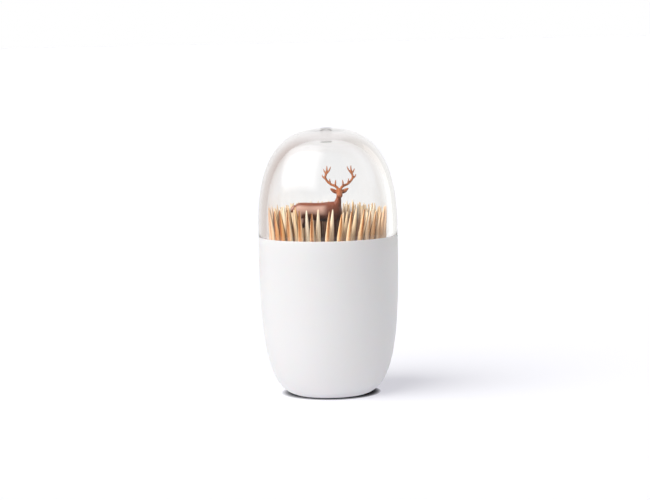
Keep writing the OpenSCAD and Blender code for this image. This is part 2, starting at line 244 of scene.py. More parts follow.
def turned(name: str, outline: list[Point], sides: int) -> bpy.types.Object:
    """Turns an outline about the Z axis by extruding and resizing a circle.

    Args:
        name: Name of the object.
        outline: Radius and height in millimetres, from the first ring to the last.
        sides: Corners of each ring.

    Returns:
        The turned object, with its poles merged and its faces outwards.
    """
    rings = [(max(r, POLE_R) * MM, z * MM) for r, z in outline]
    deselect()
    bpy.ops.mesh.primitive_circle_add(
        vertices=sides, radius=rings[0][0], location=(0, 0, rings[0][1]), enter_editmode=True
    )
    obj = bpy.context.object
    bpy.ops.mesh.select_all(action="SELECT")
    for (r0, z0), (r1, z1) in zip(rings, rings[1:]):
        bpy.ops.mesh.extrude_edges_move(TRANSFORM_OT_translate={"value": (0, 0, z1 - z0)})
        bpy.ops.transform.resize(value=(r1 / r0, r1 / r0, 1), center_override=(0, 0, z1))
    bpy.ops.mesh.select_all(action="SELECT")
    bpy.ops.mesh.remove_doubles(threshold=MERGE_DISTANCE)
    bpy.ops.mesh.normals_make_consistent(inside=False)
    bpy.ops.object.mode_set(mode="OBJECT")
    obj.name = obj.data.name = name
    return obj


def dress(piece: bpy.types.Object, material: bpy.types.Material) -> None:
    """Gives a piece one material and no other.

    Args:
        piece: Mesh object.
        material: Its finish.
    """
    piece.data.materials.clear()
    piece.data.materials.append(material)
    LOG.info("%s: %d faces, %s", piece.name, len(piece.data.polygons), material.name)


def hand_over(piece: bpy.types.Object, body: Body, node: str) -> None:
    """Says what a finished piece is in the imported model.

    Args:
        piece: Finished mesh object.
        body: Body that it rides on.
        node: CAD node that it stands for.
    """
    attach(piece, body.value)
    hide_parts(node)


# Finishes


@dataclass(frozen=True)
class Relief:
    """Bumps all over a finish: how wide their grain is and how far they stand out."""

    width_mm: float
    detail: float
    strength: float
    depth_mm: float

    def bump(self, tree: bpy.types.NodeTree, where: bpy.types.NodeSocket) -> bpy.types.Node:
        """Adds the nodes of the bump.

        Args:
            tree: Node tree of the finish.
            where: Coordinates in metres that the grain follows.

        Returns:
            The node that bends the normal.
        """
        grain = add_node(tree, "TexNoise", {}, {
            "Vector": where, "Scale": 1 / (self.width_mm * MM), "Detail": self.detail})
        return add_node(tree, "Bump", {}, {
            "Height": grain, "Strength": self.strength, "Distance": self.depth_mm * MM})


@dataclass(frozen=True)
class SatinAbs:
    """Moulded ABS with a fine eroded texture: a soft, broad sheen on white."""

    name: str = "satin_abs"
    colour: str = "DCDBDA"
    ior: float = 1.53
    roughness: float = 0.42
    # Patches with a little more sheen and a little less
    patch_mm: float = 9.0
    patch_detail: float = 1.0
    patch_change: float = 0.05
    # Spark-eroded grit of the mould, drawn coarser than it is so that it shows
    grit: Relief = Relief(width_mm=0.25, detail=2.0, strength=0.05, depth_mm=0.05)
    # Light that sinks in and comes out beside, which softens the shading
    scatter: float = 0.12
    scatter_mm: float = 1.2

    def material(self) -> bpy.types.Material:
        """Builds the node material.

        Returns:
            The material.
        """
        mat, tree = new_material(self.name)
        where = add_node(tree, "TexCoord").outputs["Object"]
        patch = add_node(tree, "TexNoise", {}, {
            "Vector": where, "Scale": 1 / (self.patch_mm * MM), "Detail": self.patch_detail})
        rough = add_node(tree, "MapRange", {}, {
            "Value": patch, "To Min": self.roughness - self.patch_change,
            "To Max": self.roughness + self.patch_change})
        surface = add_node(tree, "BsdfPrincipled", {}, {
            "Base Color": linear(self.colour), "IOR": self.ior, "Roughness": rough,
            "Normal": self.grit.bump(tree, where), "Subsurface Weight": self.scatter,
            "Subsurface Scale": self.scatter_mm * MM})
        add_node(tree, "OutputMaterial", {}, {"Surface": surface})
        return mat


@dataclass(frozen=True)
class ClearStyrene:
    """Polished clear styrene: glassy, with a faint flow ripple from the mould,
    and a grey patch of painted shade on the ejector dimple.
    """

    name: str = "clear_styrene"
    colour: str = "FFFFFF"
    ior: float = 1.5
    roughness: float = 0.015
    ripple: Relief = Relief(width_mm=14.0, detail=0.0, strength=0.04, depth_mm=0.1)
    # Painted shade on the ejector dimple, as a grey patch: its radius, the height that it lies
    # under, and its grey
    mark_r: float = 2.3
    mark_top: float = 98.5
    dimple_shade_grey: str = "6E6966"
    # What is left of lamp light that goes straight through
    straight: str = "FCFCFC"

    def material(self) -> bpy.types.Material:
        """Builds the node material. Lamps shine straight through it, as through a thin wall.

        Returns:
            The material.
        """
        mat, tree = new_material(self.name)
        where = add_node(tree, "TexCoord").outputs["Object"]
        height = add_node(tree, "SeparateXYZ", {}, {"Vector": where}).outputs["Z"]
        # Painted shade: a grey patch on the ejector dimple in the ceiling
        flat = add_node(tree, "VectorMath", {"operation": "MULTIPLY"}, {0: where, 1: (1, 1, 0)})
        reach = add_node(tree, "VectorMath", {"operation": "LENGTH"}, {0: flat}).outputs["Value"]
        inside = add_node(tree, "Math", LESS_THAN, {0: reach, 1: self.mark_r * MM})
        under = add_node(tree, "Math", LESS_THAN, {0: height, 1: self.mark_top * MM})
        dimple_shade = add_node(tree, "Math", MULTIPLY, {0: inside, 1: under})
        tint = add_node(tree, "Mix", COLOURS, {
            0: dimple_shade, MIX_A: linear(self.colour), MIX_B: linear(self.dimple_shade_grey)})
        clear = add_node(tree, "BsdfPrincipled", {}, {
            "Base Color": tint.outputs[MIX_RESULT], "IOR": self.ior,
            "Roughness": self.roughness, "Transmission Weight": 1.0,
            "Normal": self.ripple.bump(tree, where)})
        through = add_node(tree, "BsdfTransparent", {}, {"Color": linear(self.straight)})
        ray = add_node(tree, "LightPath").outputs
        lit = add_node(tree, "Math", MAXIMUM, {
            0: ray["Is Shadow Ray"], 1: ray["Is Diffuse Ray"]})
        mix = add_node(tree, "MixShader", {}, {0: lit, 1: clear, 2: through})
        add_node(tree, "OutputMaterial", {}, {"Surface": mix})
        return mat


@dataclass(frozen=True)
class BrownPvc:
    """Solid-coloured soft PVC figure: reddish brown, with painted shade low down,
    painted light up high and a painted highlight on its flank.
    """

    name: str = "brown_pvc"
    ior: float = 1.53
    roughness: float = 0.36
    # Brown from the lower height up to the higher one: painted shade, dark low down,
    # and painted light, pale up high
    low_z: float = 65.0
    high_z: float = 80.0
    shaded_browns: tuple = ((0.0, "44200F"), (0.55, "864A34"), (1.0, "B87044"))
    blotch_mm: float = 2.2
    blotch_detail: float = 3.0
    blotch_gain: float = 0.35
    blotch_shift: float = -0.17
    # Shade in creases and under the chin: reach, and tones from closed to open
    shade_mm: float = 3.0
    shades: tuple = ((0.0, "2A120A"), (0.40, "8A5644"), (0.80, "FFFFFF"), (1.0, "FFFFFF"))
    # Painted highlight, paler on faces turned this way: from the front place on its
    # flank, where it begins, to the back one
    rub: str = "DCB4A4"
    highlight_way: tuple[float, float, float] = (-0.20, -0.95, 0.22)
    highlight_from: float = 0.84
    highlight_full: float = 0.99
    highlight_most: float = 0.75
    flank_back: float = -2.5
    flank_front: float = 0.5
    # Hair cut into the mould, drawn coarser than it is so that it shows
    hair: Relief = Relief(width_mm=0.35, detail=3.0, strength=0.12, depth_mm=0.06)

    def material(self) -> bpy.types.Material:
        """Builds the node material.

        Returns:
            The material.
        """
        mat, tree = new_material(self.name)
        where = add_node(tree, "TexCoord").outputs["Object"]
        split = add_node(tree, "SeparateXYZ", {}, {"Vector": where}).outputs
        # Painted shade low down and painted light up high: the brown follows the height
        height = add_node(tree, "MapRange", {}, {
            "Value": split["Z"], "From Min": self.low_z * MM, "From Max": self.high_z * MM})
        blotch = add_node(tree, "TexNoise", {}, {
            "Vector": where, "Scale": 1 / (self.blotch_mm * MM), "Detail": self.blotch_detail})
        change = add_node(tree, "Math", {"operation": "MULTIPLY_ADD"}, {
            0: blotch, 1: self.blotch_gain, 2: self.blotch_shift})
        place = add_node(tree, "Math", {"operation": "ADD", "use_clamp": True}, {
            0: height, 1: change})
        brown = add_node(tree, "ValToRGB", {"stops": self.shaded_browns}, {"Fac": place})
        open_air = add_node(tree, "AmbientOcclusion", {"samples": SHADE_SAMPLES}, {
            "Distance": self.shade_mm * MM}).outputs["AO"]
        shade = add_node(tree, "ValToRGB", {"stops": self.shades}, {"Fac": open_air})
        # Painted highlight on the flank, on faces turned one way
        facing = add_node(tree, "VectorMath", {"operation": "DOT_PRODUCT"}, {
            0: add_node(tree, "NewGeometry").outputs["Normal"], 1: self.highlight_way})
        highlight_facing = add_node(tree, "MapRange", SMOOTH, {
            "Value": facing.outputs["Value"], "From Min": self.highlight_from,
            "From Max": self.highlight_full, "To Max": self.highlight_most})
        flank = add_node(tree, "MapRange", SMOOTH, {
            "Value": split["X"], "From Min": self.flank_front * MM,
            "From Max": self.flank_back * MM})
        amount = add_node(tree, "Math", MULTIPLY, {0: highlight_facing, 1: flank})
        highlighted = add_node(tree, "Mix", COLOURS, {
            0: amount, MIX_A: brown, MIX_B: linear(self.rub)})
        colour = add_node(tree, "Mix", TINTS, {
            0: 1.0, MIX_A: highlighted.outputs[MIX_RESULT], MIX_B: shade})
        surface = add_node(tree, "BsdfPrincipled", {}, {
            "Base Color": colour.outputs[MIX_RESULT], "IOR": self.ior,
            "Roughness": self.roughness, "Normal": self.hair.bump(tree, where)})
        add_node(tree, "OutputMaterial", {}, {"Surface": surface})
        return mat


@dataclass(frozen=True)
class RawBirch:
    """Unfinished birch: pale and matt, with fine fibres along each toothpick, and painted
    shade between the toothpicks and on sides turned to the middle.
    """

    name: str = "raw_birch"
    roughness: float = 0.62
    sheen: float = 0.15
    # Wood tones from dark to pale. Each toothpick has its place, and its grain moves from there
    woods: tuple = ((0.0, "D09858"), (0.5, "F4D0A0"), (1.0, "FFF4DE"))
    grain_gain: float = 1.1
    grain_shift: float = -0.55
    # Fibres, drawn coarser than birch's own so that they show
    fibre_mm: float = 0.3
    fibre_run_mm: float = 9.0
    fibre_detail: float = 3.0
    fibre_roughness: float = 0.6
    fibre_strength: float = 0.35
    fibre_depth_mm: float = 0.05
    # Painted shade in the crevices between the toothpicks: reach, deepest tone, and tones from
    # there to open
    gap_shade_mm: float = 2.0
    gap_shade: str = "52240A"
    gap_shades: tuple = ((0.20, "B4723E"), (0.44, "F2D2B2"), (0.72, "FFF8F0"), (1.0, "FFFFFF"))
    # Painted shade on sides turned to the middle, growing darker from the first height down to the
    # second
    pit_top: float = 74.0
    pit_low: float = 65.0
    pit_from: float = 0.3
    pit_full: float = -0.5
    pit_most: float = 0.9

    def material(self) -> bpy.types.Material:
        """Builds the node material, which follows the UV map along each toothpick.

        Returns:
            The material.
        """
        mat, tree = new_material(self.name)
        fibres = add_node(tree, "Mapping", {}, {
            "Vector": add_node(tree, "UVMap", {"uv_map": "UVMap"}),
            "Scale": (1 / (self.fibre_mm * MM), 1 / (self.fibre_run_mm * MM), 1.0)})
        grain = add_node(tree, "TexNoise", {"noise_dimensions": "2D"}, {
            "Vector": fibres, "Scale": 1.0, "Detail": self.fibre_detail,
            "Roughness": self.fibre_roughness})
        change = add_node(tree, "Math", {"operation": "MULTIPLY_ADD"}, {
            0: grain, 1: self.grain_gain, 2: self.grain_shift})
        own = add_node(tree, "Attribute", {"attribute_name": TONE}).outputs["Fac"]
        place = add_node(tree, "Math", {"operation": "ADD", "use_clamp": True}, {0: own, 1: change})
        wood = add_node(tree, "ValToRGB", {"stops": self.woods}, {"Fac": place})
        # Painted shade in the crevices between the toothpicks
        open_air = add_node(tree, "AmbientOcclusion", {"samples": SHADE_SAMPLES}, {
            "Distance": self.gap_shade_mm * MM}).outputs["AO"]
        crevice_shade = add_node(tree, "ValToRGB", {"stops": ((0.0, self.gap_shade), *self.gap_shades)}, {
            "Fac": open_air})
        # Painted shade on sides turned to the middle, deeper low down
        where = add_node(tree, "TexCoord").outputs["Object"]
        flat = add_node(tree, "VectorMath", {"operation": "MULTIPLY"}, {0: where, 1: (1, 1, 0)})
        outward = add_node(tree, "VectorMath", {"operation": "NORMALIZE"}, {0: flat})
        facing = add_node(tree, "VectorMath", {"operation": "DOT_PRODUCT"}, {
            0: add_node(tree, "NewGeometry").outputs["Normal"], 1: outward})
        inner = add_node(tree, "MapRange", SMOOTH, {
            "Value": facing.outputs["Value"], "From Min": self.pit_from,
            "From Max": self.pit_full})
        low = add_node(tree, "MapRange", SMOOTH, {
            "Value": add_node(tree, "SeparateXYZ", {}, {"Vector": where}).outputs["Z"],
            "From Min": self.pit_top * MM, "From Max": self.pit_low * MM,
            "To Max": self.pit_most})
        pit_shade = add_node(tree, "Math", MULTIPLY, {0: inner, 1: low})
        around = add_node(tree, "Mix", COLOURS, {
            0: pit_shade, MIX_A: crevice_shade, MIX_B: linear(self.gap_shade)})
        shaded = add_node(tree, "Mix", TINTS, {
            0: 1.0, MIX_A: wood, MIX_B: around.outputs[MIX_RESULT]})
        bump = add_node(tree, "Bump", {}, {
            "Height": grain, "Strength": self.fibre_strength,
            "Distance": self.fibre_depth_mm * MM})
        surface = add_node(tree, "BsdfPrincipled", {}, {
            "Base Color": shaded.outputs[MIX_RESULT], "Roughness": self.roughness,
            "Specular IOR Level": self.sheen, "Normal": bump})
        add_node(tree, "OutputMaterial", {}, {"Surface": surface})
        return mat


# Pieces


def quadrant(radius_power: float, height_power: float, end: float, steps: int) -> list[Point]:
    """Points on a superellipse's quarter of unit size, from its widest level to its pole.

    Args:
        radius_power: Exponent of the radius.
        height_power: Exponent of the height.
        end: Angle of the last point, which is a right angle at the pole.
        steps: Pieces of the curve.

    Returns:
        Shares of the full radius and of the full height.
    """
    angles = [end * i / steps for i in range(steps + 1)]
    return [(max(0.0, math.cos(a)) ** (2 / radius_power), math.sin(a) ** (2 / height_power))
            for a in angles]


@dataclass
class Shell:
    """What the egg's two halves share: they meet flush at one seam, with rounded edges."""

    radius: float = 26.5
    seam_z: float = 60.5
    edge: float = 0.15


@dataclass
class Cup(Shell):
    """The white lower shell: egg-shaped outside, with a rebated rim and a standing ring."""

    foot_r: float = 14.8
    foot_rim_w: float = 2.6
    recess_h: float = 2.4
    # Rounded outer edge of the standing ring: inwards and up, to where the bowl begins
    foot_edge: tuple[Point, ...] = ((0.75, 0.0), (0.4, 0.04), (0.1, 0.16))
    foot_edge_h: float = 0.3
    floor_z: float = 6.6
    floor_r: float = 17.8
    mouth_r: float = 22.6
    rim_r: float = 25.0
    rebate: float = 3.8
    boss_r: float = 4.2
    boss_h: float = 3.0
    boss_fillet: float = 0.4
    socket_r: float = 2.53
    socket_z: float = 4.6
    height_power: float = 3.0
    radius_power: float = 5.0
    inner_height_power: float = 4.5
    steps: int = 44
    sides: int = 160
    finish: SatinAbs = field(default_factory=SatinAbs)

    def bowl(self, r: float, top: float, end_r: float, end_z: float, power: float) -> list[Point]:
        """Outline of a bowl from its top level down.

        Args:
            r: Radius at the top.
            top: Height of the top.
            end_r: Radius at the lowest level.
            end_z: Height of the lowest level.
            power: Exponent of the height.

        Returns:
            Radius and height of each ring.
        """
        last = (1 - (end_r / r) ** self.radius_power) ** (1 / power)
        end = math.asin(last ** (power / 2))
        return [(r * across, top - (top - end_z) * (down / last))
                for across, down in quadrant(self.radius_power, power, end, self.steps)]

    def outline(self) -> list[Point]:
        """Closed outline: up inside the foot, over the outside, and down the inside.

        Returns:
            Radius and height of each ring.
        """
        e, bevel = self.edge, self.edge * EDGE_ROUND
        foot_in = self.foot_r - self.foot_rim_w
        ledge = self.seam_z - self.rebate
        boss_top = self.floor_z + self.boss_h
        outside = self.bowl(self.radius, self.seam_z - e, self.foot_r, e, self.height_power)
        inside = self.bowl(self.mouth_r, ledge - e, self.floor_r, self.floor_z,
                           self.inner_height_power)
        return [
            (0, self.recess_h), (foot_in - e, self.recess_h), (foot_in, self.recess_h - e),
            (foot_in, e), (foot_in + e, 0.0),
            *[(self.foot_r - inwards, z) for inwards, z in self.foot_edge],
            *[(r, z) for r, z in reversed(outside) if z > self.foot_edge_h],
            (self.radius - bevel, self.seam_z - bevel), (self.radius - e, self.seam_z),
            (self.rim_r + e, self.seam_z), (self.rim_r, self.seam_z - e),
            (self.rim_r, ledge), (self.mouth_r + e, ledge),
            *inside,
            (self.boss_r + self.boss_fillet, self.floor_z),
            (self.boss_r, self.floor_z + self.boss_fillet),
            (self.boss_r, boss_top - e), (self.boss_r - e, boss_top),
            (self.socket_r + e, boss_top), (self.socket_r, boss_top - e),
            (self.socket_r, self.socket_z), (0, self.socket_z)]

    def build(self) -> None:
        """Builds the cup, dresses it and puts it on the holder."""
        cup = turned("cup_shell", self.outline(), self.sides)
        settle(cup, SHELL_SHARP)
        dress(cup, self.finish.material())
        hand_over(cup, Body.HOLDER, "cup")


@dataclass
class DomeLid(Shell):
    """The clear lid: a thick dome with a spigot, a gate mark and an ejector dimple."""

    height: float = 40.7
    wall: float = 3.1
    top_wall: float = 3.8
    spigot_h: float = 3.5
    spigot_r: float = 24.92
    # Gate mark on top: a dish with a stub in it. Its lip is outwards of its radius and up from
    # the dome's top, its foot is so from the dish's bottom, and its stub is radius and height
    gate_r: float = 1.8
    gate_depth: float = 0.35
    gate_clear: float = 0.35
    gate_lip: tuple[Point, ...] = ((0.2, -0.02), (0.0, -0.1))
    gate_foot: tuple[Point, ...] = ((-0.15, 0.05), (-0.4, 0.0))
    gate_stub: tuple[Point, ...] = ((0.55, 0.0), (0.4, 0.12), (0.2, 0.16), (0.0, 0.16))
    # Ejector dimple in the ceiling: its side is given outwards and as a share of its depth
    pin_r: float = 2.1
    pin_depth: float = 0.3
    pin_clear: float = 0.3
    pin_side: tuple[Point, ...] = ((-0.5, 1.0), (-0.1, 0.6), (0.0, 0.0))
    height_power: float = 2.65
    radius_power: float = 2.61
    steps: int = 72
    sides: int = 192
    finish: ClearStyrene = field(default_factory=ClearStyrene)

    def dome(self, r: float, height: float, base: float) -> list[Point]:
        """Outline of a dome from its rim up to its pole.

        Args:
            r: Radius at the rim.
            height: Height of the pole over the rim.
            base: Height of the rim.

        Returns:
            Radius and height of each ring.
        """
        curve = quadrant(self.radius_power, self.height_power, math.pi / 2, self.steps)
        return [(r * across, base + height * up) for across, up in curve]

    def outline(self) -> list[Point]:
        """Closed outline: down the inside, round the spigot, and up the outside.

        Returns:
            Radius and height of each ring.
        """
        e, bevel = self.edge, self.edge * EDGE_ROUND
        inner_r = self.radius - self.wall
        low = self.seam_z - self.spigot_h
        top = self.seam_z + self.height
        dip = top - self.gate_depth
        ceiling = top - self.top_wall
        inside = self.dome(inner_r, self.height - self.top_wall, self.seam_z)
        outside = self.dome(self.radius, self.height - e, self.seam_z + e)
        return [
            (0, ceiling + self.pin_depth),
            *[(self.pin_r + out, ceiling + self.pin_depth * up) for out, up in self.pin_side],
            *[(r, z) for r, z in reversed(inside) if r > self.pin_r + self.pin_clear],
            (inner_r, low + e), (inner_r + e, low), (self.spigot_r - e, low),
            (self.spigot_r, low + e), (self.spigot_r, self.seam_z - e),
            (self.spigot_r + e / 2, self.seam_z), (self.radius - e, self.seam_z),
            (self.radius - bevel, self.seam_z + bevel),
            *[(r, z) for r, z in outside if r > self.gate_r + self.gate_clear],
            *[(self.gate_r + out, top + up) for out, up in self.gate_lip],
            *[(self.gate_r + out, dip + up) for out, up in self.gate_foot],
            *[(r, dip + up) for r, up in self.gate_stub]]

    def build(self) -> None:
        """Builds the lid, dresses it and puts it on its own body."""
        lid = turned("dome_shell", self.outline(), self.sides)
        settle(lid, SHELL_SHARP)
        dress(lid, self.finish.material())
        hand_over(lid, Body.LID, "dome_lid")


@dataclass(frozen=True)
class Station:
    """One elliptical ring of a limb, in millimetres: its centre and its two radii."""

    centre: tuple[float, float, float]
    side_r: float
    other_r: float


def smooth_rows(rows: tuple, steps: int = 4) -> list[list[float]]:
    """Puts extra rows between rows of numbers, on one smooth curve through them all.

    Args:
        rows: Rows of equal length.
        steps: Pieces between each pair of rows.

    Returns:
        The finer list of rows.
    """
    table = np.array(rows, float)
    last = len(table) - 1
    out = []
    for i in range(last):
        p0, p1 = table[max(i - 1, 0)], table[i]
        p2, p3 = table[i + 1], table[min(i + 2, last)]
        for t in np.arange(steps) / steps:
            out.append((2 * p1 + (p2 - p0) * t + (2 * p0 - 5 * p1 + 4 * p2 - p3) * t ** 2
                        + (3 * p1 - p0 - 3 * p2 + p3) * t ** 3) / 2)
    return [list(row) for row in [*out, table[last]]]


def select_run(obj: bpy.types.Object, first: int, end: int) -> None:
    """Selects a run of vertices alone in edit mode, with the edges between them.

    Args:
        obj: Mesh object in edit mode.
        first: Number of the first vertex.
        end: Number past the last vertex.
    """
    bpy.ops.mesh.select_all(action="DESELECT")
    mesh = bmesh.from_edit_mesh(obj.data)
    mesh.verts.ensure_lookup_table()
    for vert in mesh.verts[first:end]:
        vert.select = True
    mesh.select_flush(True)
    bmesh.update_edit_mesh(obj.data)


def limb(name: str, stations: list[Station], sides: int, side: Vector) -> bpy.types.Object:
    """Lofts a limb: a circle is added at every station and bridged to the one before it.

    Args:
        name: Name of the object.
        stations: Rings from one end to the other.
        sides: Corners of each ring.
        side: Direction that every ring's first radius lies along.

    Returns:
        The closed limb.
    """
    centres = [Vector(s.centre) * MM for s in stations]
    rings = []
    for i, station in enumerate(stations):
        ahead = (centres[min(i + 1, len(centres) - 1)] - centres[max(i - 1, 0)]).normalized()
        across = ahead.cross(side).normalized()
        turn = Matrix((side, across, side.cross(across))).transposed().to_4x4()
        deselect()
        bpy.ops.mesh.primitive_circle_add(vertices=sides, radius=MM)
        ring = bpy.context.object
        ring.data.transform(Matrix.Translation(centres[i]) @ turn
                            @ Matrix.Diagonal((station.side_r, station.other_r, 1, 1)))
        rings.append(ring)
    obj = join(rings, name)
    bpy.ops.object.mode_set(mode="EDIT")
    for i in range(1, len(rings)):
        select_run(obj, (i - 1) * sides, (i + 1) * sides)
        bpy.ops.mesh.bridge_edge_loops()
    for cap in (0, len(rings) - 1):
        select_run(obj, cap * sides, (cap + 1) * sides)
        bpy.ops.mesh.edge_face_add()
    bpy.ops.mesh.select_all(action="SELECT")
    bpy.ops.mesh.normals_make_consistent(inside=False)
    bpy.ops.object.mode_set(mode="OBJECT")
    return obj


@dataclass
class StagFigure:
    """The stag, in shares of its height at the withers, from the soles of its hooves."""

    height: float = 16.6
    place: tuple[float, float, float] = (-3.5, 0.0, 56.8)
    stride: float = 0.030
    head_x: float = 0.488
    crown: float = 1.292
    antler_h: float = 9.0
    half_span: float = 6.5
    beam_r: float = 0.53
    # Skins of the body and of the antlers: grain in millimetres and rounds of smoothing
    body_skin: tuple[float, int] = (0.125, 8)
    antler_skin: tuple[float, int] = (0.062, 2)
    smoothing: float = 0.5
    sharp_degrees: float = 60
    # Corners of each ring, and of the balls round and from pole to pole
    trunk_sides: int = 32
    neck_sides: int = 24
    head_sides: int = 24
    ear_sides: int = 20
    leg_sides: int = 18
    tail_sides: int = 16
    hoof_sides: int = 16
    beam_sides: int = 14
    tine_sides: int = 12
    ball_sides: tuple[int, int] = (24, 16)
    finish: BrownPvc = field(default_factory=BrownPvc)
    # Trunk and neck: along, height, half width, half depth
    trunk: tuple = (
        (-0.604, 0.790, 0.020, 0.030), (-0.580, 0.795, 0.075, 0.100),
        (-0.512, 0.785, 0.122, 0.180), (-0.420, 0.775, 0.148, 0.207),
        (-0.301, 0.780, 0.154, 0.205), (-0.120, 0.775, 0.151, 0.200),
        (0.060, 0.762, 0.160, 0.214), (0.241, 0.756, 0.163, 0.234),
        (0.380, 0.759, 0.151, 0.235), (0.482, 0.765, 0.114, 0.181),
        (0.525, 0.771, 0.060, 0.102), (0.538, 0.771, 0.018, 0.030))
    neck: tuple = (
        (0.350, 0.780, 0.150, 0.172), (0.388, 0.850, 0.124, 0.138),
        (0.426, 0.918, 0.102, 0.108), (0.453, 0.990, 0.082, 0.080),
        (0.470, 1.065, 0.066, 0.062), (0.481, 1.140, 0.058, 0.055),
        (0.488, 1.215, 0.054, 0.050))
    # Head: away from the viewer, height, half width, half depth
    head: tuple = (
        (0.090, 1.241, 0.024, 0.024), (0.060, 1.235, 0.063, 0.063),
        (0.000, 1.229, 0.078, 0.081), (-0.060, 1.208, 0.074, 0.078),
        (-0.120, 1.178, 0.074, 0.066), (-0.181, 1.151, 0.070, 0.054),
        (-0.229, 1.133, 0.066, 0.047), (-0.253, 1.127, 0.044, 0.028))
    # Legs and tail: along, sideways, height, half width, half depth
    foreleg: tuple = (
        (0.337, 0.055, 0.690, 0.080, 0.115), (0.307, 0.080, 0.518, 0.054, 0.075),
        (0.325, 0.083, 0.390, 0.036, 0.044), (0.337, 0.083, 0.277, 0.035, 0.037),
        (0.331, 0.083, 0.180, 0.024, 0.027), (0.325, 0.083, 0.082, 0.029, 0.031),
        (0.346, 0.083, 0.046, 0.026, 0.026))
    hindleg: tuple = (
        (-0.380, 0.050, 0.720, 0.085, 0.127), (-0.337, 0.080, 0.542, 0.058, 0.090),
        (-0.410, 0.085, 0.428, 0.040, 0.052), (-0.480, 0.085, 0.325, 0.033, 0.038),
        (-0.464, 0.085, 0.193, 0.024, 0.027), (-0.446, 0.085, 0.082, 0.029, 0.031),
        (-0.425, 0.085, 0.046, 0.026, 0.026))
    tail: tuple = (
        (-0.500, 0.0, 0.905, 0.040, 0.034), (-0.572, 0.0, 0.880, 0.044, 0.036),
        (-0.612, 0.0, 0.826, 0.044, 0.034), (-0.624, 0.0, 0.760, 0.030, 0.020))
    # Ear: sideways, away from the viewer, height, half height, half thickness
    ear: tuple = (
        (0.045, 0.022, 1.194, 0.028, 0.020), (0.082, 0.020, 1.212, 0.044, 0.022),
        (0.123, 0.014, 1.238, 0.048, 0.022), (0.160, 0.010, 1.263, 0.038, 0.019),
        (0.190, 0.007, 1.283, 0.026, 0.015), (0.212, 0.006, 1.296, 0.012, 0.010))
    # Muscles: along, sideways, height, and three radii
    muscles: tuple = (
        (-0.400, 0.082, 0.730, 0.115, 0.070, 0.170), (0.335, 0.088, 0.745, 0.095, 0.066, 0.160))
    # Eye, brow and nostril of one side: sideways, away from the viewer, height, radius
    pads: tuple = (
        (0.063, -0.040, 1.238, 0.017), (0.052, -0.020, 1.266, 0.022),
        (0.020, -0.238, 1.146, 0.017))
    # Chin: away from the viewer, height, and three radii
    chin: tuple = (-0.215, 1.112, 0.026, 0.040, 0.020)
    # Hoof: forward of the ankle, half length, half width, height
    hoof: tuple = (0.014, 0.040, 0.034, 0.066)
    # Rings of each half of a hoof: share of the way forward, of its height and of its girth
    claw: tuple = ((1.3, 0.0, 0.94), (1.25, 0.06, 1.0), (0.8, 0.5, 0.82), (0.2, 1.0, 0.60))
    claw_w: float = 0.47
    # Antlers of one side: sideways, away from the viewer, height, thickness
    beam: tuple = (
        (0.060, 0.00, -0.06, 1.0), (0.130, 0.02, 0.045, 1.0), (0.272, 0.05, 0.120, 0.92),
        (0.468, 0.09, 0.174, 0.90), (0.637, 0.11, 0.276, 0.86), (0.770, 0.11, 0.400, 0.84),
        (0.806, 0.10, 0.497, 0.82), (0.780, 0.08, 0.580, 0.82), (0.742, 0.06, 0.660, 0.80))
    tines: tuple = (
        ((0.215, 0.03, 0.100, 0.62), (0.225, -0.03, 0.180, 0.62), (0.215, -0.05, 0.275, 0.52),
         (0.198, -0.05, 0.367, 0.26)),
        ((0.500, 0.09, 0.195, 0.60), (0.525, 0.07, 0.270, 0.58), (0.545, 0.05, 0.350, 0.44),
         (0.546, 0.04, 0.424, 0.24)),
        ((0.790, 0.11, 0.425, 0.62), (0.890, 0.11, 0.470, 0.62), (0.960, 0.10, 0.530, 0.48),
         (0.990, 0.09, 0.605, 0.24)),
        ((0.750, 0.06, 0.640, 0.66), (0.812, 0.05, 0.700, 0.60), (0.868, 0.04, 0.770, 0.46),
         (0.900, 0.03, 0.850, 0.24)),
        ((0.742, 0.06, 0.640, 0.74), (0.712, 0.04, 0.760, 0.66), (0.700, 0.03, 0.880, 0.48),
         (0.706, 0.02, 0.985, 0.24)),
        ((0.742, 0.06, 0.630, 0.66), (0.630, 0.04, 0.725, 0.60), (0.535, 0.02, 0.830, 0.46),
         (0.484, 0.01, 0.945, 0.24)))

    def at(self, x: float, y: float, z: float) -> tuple[float, float, float]:
        """Place in millimetres of a point given in shares of the height."""
        return (self.place[0] + x * self.height, self.place[1] + y * self.height,
                self.place[2] + z * self.height)

    def loft(self, name: str, rows: list, sides: int, side: Vector = ACROSS) -> bpy.types.Object:
        """Lofts a limb from rows in shares of the height.

        Args:
            name: Name of the limb.
            rows: Along, sideways and height of each ring's centre, and its two radii.
            sides: Corners of each ring.
            side: Direction that the first radius lies along.

        Returns:
            The closed limb.
        """
        stations = [Station(self.at(x, y, z), w * self.height, d * self.height)
                    for x, y, z, w, d in rows]
        return limb(name, stations, sides, side)

    def head_and_trunk(self) -> list[bpy.types.Object]:
        """Lofts what the stag has once: trunk, neck and head.

        Returns:
            The limbs.
        """
        trunk, neck = ([(x, 0, z, w, d) for x, z, w, d in smooth_rows(rows)]
                       for rows in (self.trunk, self.neck))
        head = [(self.head_x, y, z, w, d) for y, z, w, d in smooth_rows(self.head)]
        return [self.loft("trunk", trunk, self.trunk_sides),
                self.loft("neck", neck, self.neck_sides),
                self.loft("head", head, self.head_sides, Vector((1, 0, 0)))]

    def ear_loft(self, side: int) -> bpy.types.Object:
        """Lofts one leaf-shaped ear.

        Args:
            side: -1 for the ear towards the tail, 1 for the one away from it.

        Returns:
            The ear.
        """
        rows = [(self.head_x + side * x, y, z, t, h) for x, y, z, h, t in smooth_rows(self.ear)]
        return self.loft("ear", rows, self.ear_sides)

